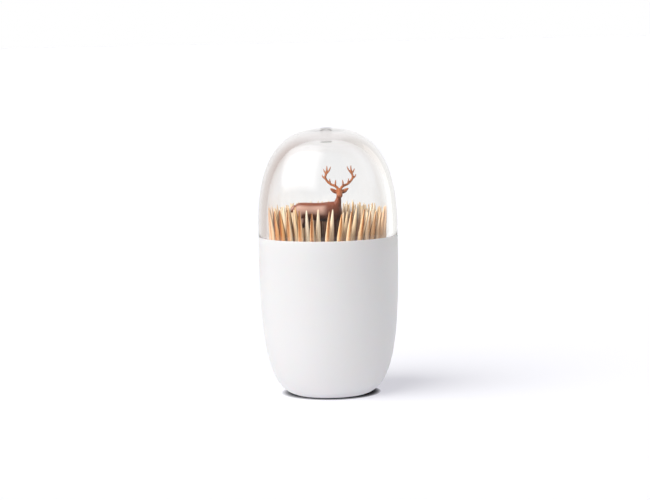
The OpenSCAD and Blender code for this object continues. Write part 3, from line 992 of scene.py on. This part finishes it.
    def leg(self, rows: tuple, side: int, stride: int) -> list[bpy.types.Object]:
        """Lofts one leg with its cloven hoof.

        Args:
            rows: Rows of the leg's table.
            side: -1 for the viewer's side, 1 for the far side.
            stride: 1 for a leg that stands ahead, -1 for one that stands back.

        Returns:
            The leg and the two halves of its hoof.
        """
        shift = stride * self.stride
        shank = [(x + shift, side * y, z, w, d) for x, y, z, w, d in smooth_rows(rows)]
        pieces = [self.loft("leg", shank, self.leg_sides)]
        ahead, length, width, tall = self.hoof
        ankle = rows[-1]
        for half in (-1, 1):
            middle = side * ankle[1] + half * width / 2
            claw = [(ankle[0] + shift + ahead * k, middle, tall * z, width * self.claw_w * r,
                     length * r) for k, z, r in self.claw]
            pieces.append(self.loft("hoof", claw, self.hoof_sides))
        return pieces

    def muscle(self, row: tuple, side: int = 1) -> bpy.types.Object:
        """Adds a rounded muscle as a stretched ball that the skin will cover.

        Args:
            row: Along, sideways, height, and three radii.
            side: -1 for the viewer's side, 1 for the far side or the middle.

        Returns:
            The ball.
        """
        x, y, z, rx, ry, rz = row
        deselect()
        bpy.ops.mesh.primitive_uv_sphere_add(
            segments=self.ball_sides[0], ring_count=self.ball_sides[1], radius=1.0,
            location=Vector(self.at(x, side * y, z)) * MM,
            scale=Vector((rx, ry, rz)) * self.height * MM)
        ball = bpy.context.object
        bpy.ops.object.transform_apply(location=True, rotation=True, scale=True)
        return ball

    def face(self) -> list[bpy.types.Object]:
        """Adds the eyes, brows, nostril pads and chin.

        Returns:
            The balls that the skin will cover.
        """
        pads = [self.muscle((self.head_x + side * x, y, z, r, r, r))
                for side in (-1, 1) for x, y, z, r in self.pads]
        return [*pads, self.muscle((self.head_x, *self.chin))]

    def antler(self, side: int) -> list[bpy.types.Object]:
        """Lofts one antler's beam and tines.

        Args:
            side: -1 for the antler towards the tail, 1 for the one away from it.

        Returns:
            The beam and its tines.
        """
        base = self.at(self.head_x, 0, self.crown)
        pieces = []
        branches = [(self.beam, self.beam_sides)]
        branches += [(tine, self.tine_sides) for tine in self.tines]
        for rows, sides in branches:
            stations = [Station(
                (base[0] + side * x * self.half_span, base[1] + y * self.antler_h,
                 base[2] + z * self.antler_h), r * self.beam_r, r * self.beam_r)
                for x, y, z, r in smooth_rows(rows)]
            pieces.append(limb("tine", stations, sides, ACROSS))
        return pieces

    def skin(self, parts: list, name: str, grain: tuple[float, int]) -> bpy.types.Object:
        """Melts parts into one closed skin.

        Args:
            parts: Overlapping closed parts.
            name: Name of the result.
            grain: Grain of the skin in millimetres, and rounds of smoothing.

        Returns:
            The single skinned object.
        """
        voxel, passes = grain
        whole = join(parts, name)
        apply_modifier(whole, "REMESH", {"mode": "VOXEL", "voxel_size": voxel * MM})
        apply_modifier(whole, "SMOOTH", {"factor": self.smoothing, "iterations": passes})
        return whole

    def build(self) -> bpy.types.Object:
        """Builds the stag, dresses it and puts it on the holder.

        Returns:
            The finished figure.
        """
        parts = [*self.head_and_trunk(), *self.face()]
        parts.append(self.loft("tail", smooth_rows(self.tail), self.tail_sides))
        for side in (-1, 1):
            parts.append(self.ear_loft(side))
            parts += [self.muscle(row, side) for row in self.muscles]
        for rows, side, stride in ((self.foreleg, -1, 1), (self.foreleg, 1, -1),
                                   (self.hindleg, -1, -1), (self.hindleg, 1, 1)):
            parts += self.leg(rows, side, stride)
        body = self.skin(parts, "stag_body", self.body_skin)
        antlers = self.skin([*self.antler(-1), *self.antler(1)], "antlers", self.antler_skin)
        stag = join([body, antlers], "stag_figure")
        settle(stag, self.sharp_degrees)
        dress(stag, self.finish.material())
        hand_over(stag, Body.HOLDER, "stag")
        return stag


@dataclass
class Toothpicks:
    """Loose round toothpicks: each is turned once more, finely, where the frame has one."""

    shank_r: float = 1.0
    tip_r: float = 0.20
    taper: float = 11.0
    # Rounded end: share of the tip's radius, and distance from the end in millimetres
    end: tuple[Point, ...] = ((0.0, 0.0), (0.6, 0.03), (1.0, 0.2))
    # Taper: share of the way from the tip's radius to the shank's, and share of its length
    swell: tuple[Point, ...] = ((0.40, 0.3), (0.76, 0.62), (0.9625, 0.92), (1.0, 1.1))
    sides: int = 16
    sharp_degrees: float = 50
    rows: tuple[str, ...] = ("toothpicks_outer_row", "toothpicks_second_row",
                             "toothpicks_third_row", "toothpicks_inner_row")
    # Corners of a CAD toothpick that are nearer than this many metres are one corner
    weld: float = 1e-6
    # Toothpicks are sorted by the place of their feet, rounded to this many decimals
    decimals: int = 6
    # Each toothpick's tone: middle, spread, least and most. 1 is the palest wood
    tone_middle: float = 0.78
    tone_spread: float = 0.18
    tone_least: float = 0.35
    tone_most: float = 1.0
    # Grain is moved by up to this many metres, so that no two toothpicks share theirs
    grain_shift: float = 5.0
    seed: int = 7
    finish: RawBirch = field(default_factory=RawBirch)

    def ends(self, node: bpy.types.Object) -> list[tuple[Vector, Vector]]:
        """Finds the foot and the point of every toothpick in a CAD node.

        Args:
            node: CAD node that holds one closed solid per toothpick.

        Returns:
            Pairs of foot and point in metres.
        """
        mesh = bmesh.new()
        mesh.from_mesh(node.data)
        bmesh.ops.remove_doubles(mesh, verts=mesh.verts, dist=self.weld)
        left = set(mesh.verts)
        found = []
        while left:
            reached = {left.pop()}
            edge = set(reached)
            while edge:
                edge = {e.other_vert(v) for v in edge for e in v.link_edges} & left
                left -= edge
                reached |= edge
            corners = np.array([v.co for v in reached])
            middle = corners.mean(0)
            way = np.linalg.svd(corners - middle, full_matrices=False)[2][0]
            way *= 1 if way[2] > 0 else -1
            along = (corners - middle) @ way
            found.append((Vector(middle + way * along.min()), Vector(middle + way * along.max())))
        mesh.free()
        return sorted(found, key=lambda pair: [round(v, self.decimals) for v in pair[0].xy])

    def pattern(self, length: float) -> bpy.types.Object:
        """Turns one toothpick, with a UV map in metres round it and along it.

        Args:
            length: Its length in millimetres.

        Returns:
            The toothpick, upright with its foot on the origin.
        """
        rise = [(self.tip_r * share, z) for share, z in self.end]
        rise += [(self.tip_r + (self.shank_r - self.tip_r) * share, self.taper * z)
                 for share, z in self.swell]
        fall = [(radius, length - z) for radius, z in reversed(rise)]
        pick = turned("toothpick", [*rise, (self.shank_r, length / 2), *fall], self.sides)
        uv = pick.data.uv_layers.new(name="UVMap")
        for face in pick.data.polygons:
            spots = [pick.data.vertices[v].co for v in face.vertices]
            # A corner on the axis has no angle of its own and takes its face's first one
            angles = [math.atan2(co.y, co.x) if co.xy.length > MERGE_DISTANCE else None
                      for co in spots]
            start = next(angle for angle in angles if angle is not None)
            for loop, co, angle in zip(face.loop_indices, spots, angles):
                turn = start if angle is None else start + math.remainder(angle - start, math.tau)
                uv.data[loop].uv = (turn * self.shank_r * MM, co.z + pick.location.z)
        return pick

    def one_pick(self, foot: Vector, point: Vector, draw: np.random.Generator) -> bpy.types.Object:
        """Makes one toothpick in its place, with its own tone, grain and turn.

        Args:
            foot: Its lower end in metres.
            point: Its upper end in metres.
            draw: Source of its random values.

        Returns:
            The toothpick.
        """
        way = point - foot
        pick = self.pattern(way.length / MM)
        settle(pick, self.sharp_degrees)
        tone = draw.normal(self.tone_middle, self.tone_spread)
        tone = float(np.clip(tone, self.tone_least, self.tone_most))
        values = pick.data.attributes.new(TONE, "FLOAT", "POINT").data
        values.foreach_set("value", [tone] * len(pick.data.vertices))
        shift = draw.uniform(0, self.grain_shift)
        for loop in pick.data.uv_layers[0].data:
            loop.uv = (loop.uv[0] + shift, loop.uv[1] + shift)
        spin = Matrix.Rotation(draw.uniform(0, math.tau), 4, "Z")
        turn = way.to_track_quat("Z", "Y").to_matrix().to_4x4()
        pick.data.transform(Matrix.Translation(foot) @ turn @ spin)
        return pick

    def build(self, frame: dict) -> list[bpy.types.Object]:
        """Builds all rows, dresses them and puts them on the holder.

        Args:
            frame: Loaded frame, whose nodes say where each toothpick stands.

        Returns:
            One piece per row.
        """
        draw = np.random.default_rng(self.seed)
        material = self.finish.material()
        built = []
        for row in self.rows:
            ends = self.ends(frame["nodes"][row])
            picks = [self.one_pick(foot, point, draw) for foot, point in ends]
            piece = join(picks, row.replace("toothpicks", "picks"))
            dress(piece, material)
            hand_over(piece, Body.HOLDER, row)
            built.append(piece)
        return built


# Studio


def link(name: str, data: bpy.types.ID) -> bpy.types.Object:
    """Puts a camera or a lamp into the scene.

    Args:
        name: Name of the object.
        data: Its camera or lamp data.

    Returns:
        The object.
    """
    obj = bpy.data.objects.new(name, data)
    bpy.context.scene.collection.objects.link(obj)
    return obj


def shine(data: bpy.types.Light, way: Vector) -> bpy.types.Object:
    """Puts a lamp into the scene that shines one way and isn't seen through the lid.

    Args:
        data: Its light data, which gives its name.
        way: Direction that it shines in.

    Returns:
        The lamp.
    """
    lamp = link(data.name, data)
    lamp.rotation_euler = way.to_track_quat("-Z", "Y").to_euler()
    lamp.visible_transmission = False
    return lamp


@dataclass
class Camera:
    """The photograph's camera: its angle, roll and framing."""

    target_z: float = 0.052
    distance: float = 0.8142
    elevation: float = 0.107
    roll: float = 0.020
    focal_px: float = 2134.9
    frame_px: tuple[int, int] = (650, 500)
    centre_px: tuple[float, float] = (328.52, 256.99)
    sensor_mm: float = 36.0
    clip: tuple[float, float] = (0.01, 50)

    def build(self) -> None:
        """Adds the camera and makes it the scene's own."""
        data = bpy.data.cameras.new("camera")
        data.sensor_width = self.sensor_mm
        width, height = self.frame_px
        data.lens = self.focal_px * self.sensor_mm / width
        data.shift_x = (width / 2 - self.centre_px[0]) / width
        data.shift_y = (self.centre_px[1] - height / 2) / width
        data.clip_start, data.clip_end = self.clip
        cos_e, sin_e = math.cos(self.elevation), math.sin(self.elevation)
        cos_r, sin_r = math.cos(self.roll), math.sin(self.roll)
        right, up = Vector((1, 0, 0)), Vector((0, sin_e, cos_e))
        back = Vector((0, -cos_e, sin_e))
        eye = Vector((0, 0, self.target_z)) + back * self.distance
        axes = Matrix((right * cos_r - up * sin_r, right * sin_r + up * cos_r, back)).transposed()
        camera = link("camera", data)
        camera.matrix_world = Matrix.Translation(eye) @ axes.to_4x4()
        bpy.context.scene.camera = camera


@dataclass
class Floor:
    """The matt white floor, lifted to white where it is seen."""

    size: float = 40.0
    colour: str = "CFCFCF"
    # Glow that lifts it: its tint, and its strength in sight and out of sight
    glow: str = "F3F2FF"
    seen: float = 0.39
    unseen: float = 0.46
    # Past this distance, rays bent or mirrored by the lid see the room instead
    end: float = 0.30
    # Shadow where the cup touches it: reach, falloff, tone, and the way that opens it
    contact_mm: float = 2.4
    contact_power: float = 2.2
    contact_dark: str = "0A0B0D"
    contact_way: tuple[float, float, float] = (-0.45, -0.15, 0.88)
    contact_samples: int = 12

    def material(self) -> bpy.types.Material:
        """Builds the node material.

        Returns:
            The material.
        """
        mat, tree = new_material("white_floor")
        ray = add_node(tree, "LightPath").outputs
        x, y, z = self.contact_way
        open_sky = add_node(tree, "AmbientOcclusion", {"samples": self.contact_samples}, {
            "Distance": self.contact_mm * MM,
            "Normal": add_node(tree, "CombineXYZ", {}, {"X": x, "Y": y, "Z": z})})
        near = add_node(tree, "Math", {"operation": "POWER"}, {
            0: open_sky.outputs["AO"], 1: self.contact_power})
        contact = add_node(tree, "MapRange", {}, {
            "Value": ray["Is Camera Ray"], "To Min": 1.0, "To Max": near})
        tint = add_node(tree, "Mix", COLOURS, {
            0: contact, MIX_A: linear(self.contact_dark), MIX_B: linear(self.colour)})
        matt = add_node(tree, "BsdfDiffuse", {}, {"Color": tint.outputs[MIX_RESULT]})
        amount = add_node(tree, "MapRange", {}, {
            "Value": ray["Is Camera Ray"], "To Min": self.unseen, "To Max": self.seen})
        lift = add_node(tree, "Math", MULTIPLY, {0: amount, 1: contact})
        glow = add_node(tree, "Emission", {}, {"Color": linear(self.glow), "Strength": lift})
        both = add_node(tree, "AddShader", {}, {0: matt, 1: glow})
        where = add_node(tree, "TexCoord").outputs["Object"]
        reach = add_node(tree, "VectorMath", {"operation": "LENGTH"}, {0: where})
        beyond = add_node(tree, "Math", {"operation": "GREATER_THAN"}, {
            0: reach.outputs["Value"], 1: self.end})
        bent = add_node(tree, "Math", MAXIMUM, {
            0: ray["Is Transmission Ray"], 1: ray["Is Glossy Ray"]})
        gone = add_node(tree, "Math", MULTIPLY, {0: beyond, 1: bent})
        ends = add_node(tree, "MixShader", {}, {
            0: gone, 1: both, 2: add_node(tree, "BsdfTransparent")})
        add_node(tree, "OutputMaterial", {}, {"Surface": ends})
        return mat

    def build(self) -> None:
        """Adds the floor."""
        deselect()
        bpy.ops.mesh.primitive_plane_add(size=self.size, location=(0, 0, 0))
        floor = bpy.context.object
        floor.name = "floor"
        dress(floor, self.material())


@dataclass
class Room:
    """Soft light all round: a white backdrop, and a dimmer room in front."""

    fill: float = 0.44
    # Dim side of the room: its light, and from where to where it turns to the white side
    front: float = 0.08
    front_edge: float = -0.1
    back_edge: float = 0.5
    # Its light where the lid's own wall mirrors it, after one bend or two: the band shows it
    wall_front: float = 0.55
    wall_bends: float = 1.5
    wall_reach: float = 1.0
    # Tones that the lid bends into view: from left to right, and from level to overhead
    across: tuple = (
        (0.05, "EAE6E4"), (0.175, "D5CBC6"), (0.28, "E3DBD7"), (0.37, "F3F0EF"),
        (0.43, "FFFFFF"), (0.57, "FFFFFF"), (0.63, "EEEDEB"), (0.72, "F8F6F2"), (0.85, "FFFFFF"))
    upward: tuple = ((0.10, "FFFFFF"), (0.40, "F3EFEE"), (0.70, "E8E4E3"), (1.0, "E8E4E3"))

    def build(self) -> None:
        """Fills the world with the room's light."""
        world = bpy.data.worlds.new("white_room")
        bpy.context.scene.world = world
        world.use_nodes = True
        tree = world.node_tree
        tree.nodes.clear()
        ray = add_node(tree, "LightPath").outputs
        way = add_node(tree, "TexCoord").outputs["Generated"]
        split = add_node(tree, "SeparateXYZ", {}, {"Vector": way}).outputs
        # Only rays that were mirrored once see the dim side; rays bent straight through don't
        dim = add_node(tree, "MapRange", SMOOTH, {
            "Value": split["Y"], "From Min": self.front_edge, "From Max": self.back_edge,
            "To Min": self.front, "To Max": 1.0})
        own_wall = add_node(tree, "Math", {"operation": "COMPARE"}, {
            0: ray["Transmission Depth"], 1: self.wall_bends, 2: self.wall_reach})
        least = add_node(tree, "Math", MULTIPLY, {0: own_wall, 1: self.wall_front})
        dim_side = add_node(tree, "Math", MAXIMUM, {0: dim, 1: least})
        room = add_node(tree, "MapRange", {}, {
            "Value": ray["Glossy Depth"], "To Min": 1.0, "To Max": dim_side})
        mirrored = add_node(tree, "Math", MAXIMUM, {
            0: ray["Is Glossy Ray"], 1: ray["Is Transmission Ray"]})
        level = add_node(tree, "MapRange", {}, {
            "Value": mirrored, "To Min": self.fill, "To Max": room})
        strength = add_node(tree, "Math", MAXIMUM, {0: ray["Is Camera Ray"], 1: level})
        sideways = add_node(tree, "MapRange", {}, {
            "Value": split["X"], "From Min": -1.0, "From Max": 1.0})
        across = add_node(tree, "ValToRGB", {"stops": self.across}, {"Fac": sideways})
        upward = add_node(tree, "ValToRGB", {"stops": self.upward}, {"Fac": split["Z"]})
        both = add_node(tree, "Mix", TINTS, {0: 1.0, MIX_A: across, MIX_B: upward})
        colour = add_node(tree, "Mix", COLOURS, {
            0: mirrored, MIX_A: linear("FFFFFF"), MIX_B: both.outputs[MIX_RESULT]})
        light = add_node(tree, "Background", {}, {
            "Color": colour.outputs[MIX_RESULT], "Strength": strength})
        add_node(tree, "OutputWorld", {}, {"Surface": light})


@dataclass
class Softbox:
    """The softbox that is mirrored in the lid: brightest inside, soft at its right."""

    glow: float = 2.2
    # Low left, low right, high left and high right, as they are mirrored
    corners: tuple = ((-1.324, 0.046, 0.314), (-0.407, -1.634, 0.627),
                      (-0.833, 0.605, 0.885), (0.123, -0.211, 1.467))
    # Soft edges: axis of its cloth, where its glow starts and where it is full
    edges: tuple = (("X", 0.03, 0.16), ("X", 1.0, 0.70), ("Y", 0.0, 0.08), ("Y", 0.97, 0.82))

    def material(self) -> bpy.types.Material:
        """Builds the cloth's node material, which only mirrored rays see.

        Returns:
            The material.
        """
        mat, tree = new_material("softbox_cloth")
        where = add_node(tree, "TexCoord").outputs["UV"]
        split = add_node(tree, "SeparateXYZ", {}, {"Vector": where}).outputs
        glow = add_node(tree, "MapRange", {}, {
            "Value": add_node(tree, "LightPath").outputs["Glossy Depth"], "To Max": self.glow})
        for axis, start, full in self.edges:
            edge = add_node(tree, "MapRange", SMOOTH, {
                "Value": split[axis], "From Min": start, "From Max": full})
            glow = add_node(tree, "Math", MULTIPLY, {0: edge, 1: glow})
        cloth = add_node(tree, "Emission", {}, {"Strength": glow})
        both = add_node(tree, "AddShader", {}, {0: add_node(tree, "BsdfTransparent"), 1: cloth})
        add_node(tree, "OutputMaterial", {}, {"Surface": both})
        return mat

    def build(self) -> None:
        """Adds the softbox."""
        deselect()
        bpy.ops.mesh.primitive_plane_add(size=1.0)
        panel = bpy.context.object
        panel.name = "softbox"
        for vert, corner in zip(panel.data.vertices, self.corners):
            vert.co = corner
        dress(panel, self.material())
        panel.visible_camera = panel.visible_diffuse = panel.visible_shadow = False


@dataclass
class StripLamp:
    """A rectangular soft lamp that looks at the object and shows only as a reflection."""

    name: str = "right_strip"
    spot: tuple[float, float, float] = (0.45, 0.33, 0.20)
    target: tuple[float, float, float] = (0, 0, 0.07)
    size: tuple[float, float] = (0.16, 0.6)
    glow: float = 0.70
    colour: str = "FFF6EA"

    def build(self) -> None:
        """Adds the lamp, bright enough to show with the given glow where it is reflected."""
        data = bpy.data.lights.new(self.name, "AREA")
        data.shape = "RECTANGLE"
        data.size, data.size_y = self.size
        data.energy = self.glow * math.pi * self.size[0] * self.size[1]
        data.color = linear(self.colour)[:3]
        lamp = shine(data, Vector(self.target) - Vector(self.spot))
        lamp.location = self.spot
        lamp.visible_diffuse = False


@dataclass
class Sun:
    """A distant lamp with a soft edge, left out of reflections."""

    name: str
    power: float
    angle: float
    source: Vector
    colour: str = "FFFFFF"

    def build(self) -> bpy.types.Object:
        """Adds the lamp.

        Returns:
            The lamp.
        """
        data = bpy.data.lights.new(self.name, "SUN")
        data.energy = self.power
        data.angle = math.radians(self.angle)
        data.color = linear(self.colour)[:3]
        lamp = shine(data, -self.source)
        lamp.visible_glossy = False
        return lamp


@dataclass
class Studio:
    """White floor, white surroundings, soft lamps and the camera."""

    key_azimuth: float = -52.0
    key_elevation: float = 48.0
    key_power: float = 2.65
    key_angle: float = 58.0
    # A narrow lamp that lights only the pieces under the lid
    inner: Sun = field(default_factory=lambda: Sun(
        "inner_light", 1.9, 16.0, Vector((-0.66, -0.50, 0.56)), "FFF4E2"))

    def key(self) -> Sun:
        """Works out the main light: broad, from the front left.

        Returns:
            The lamp, not yet in the scene.
        """
        azimuth, elevation = math.radians(self.key_azimuth), math.radians(self.key_elevation)
        source = Vector((math.sin(azimuth) * math.cos(elevation),
                         -math.cos(azimuth) * math.cos(elevation), math.sin(elevation)))
        return Sun("key", self.key_power, self.key_angle, source)

    def build(self) -> None:
        """Builds the whole studio, apart from the lamp that needs the pieces."""
        for part in (Camera(), Floor(), Room(), self.key(), Softbox(), StripLamp()):
            part.build()

    def light_under_lid(self, pieces: list[bpy.types.Object]) -> None:
        """Lights the pieces under the lid, and nothing else, with the inner lamp.

        Args:
            pieces: What it lights.
        """
        lit = bpy.data.collections.new("under_lid")
        for piece in pieces:
            lit.objects.link(piece)
        self.inner.build().light_linking.receiver_collection = lit


def corners(box: tuple[Vector, Vector]) -> list[list[float]]:
    """A box as plain lists of numbers."""
    return [list(box[0]), list(box[1])]


def main() -> None:
    """Loads the frame and builds every piece around it."""
    logging.basicConfig(level=logging.INFO, format="%(name)s %(message)s")
    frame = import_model()
    deselect()
    bpy.context.scene.view_settings.view_transform = "Standard"
    studio = Studio()
    studio.build()
    Cup().build()
    DomeLid().build()
    stag = StagFigure().build()
    stand = frame["nodes"]["stag_stand"]
    dress(stand, BrownPvc(name="stand_pvc").material())
    picks = Toothpicks().build(frame)
    studio.light_under_lid([stag, stand, *picks])
    bpy.context.view_layer.update()


if __name__ == "__main__":
    main()
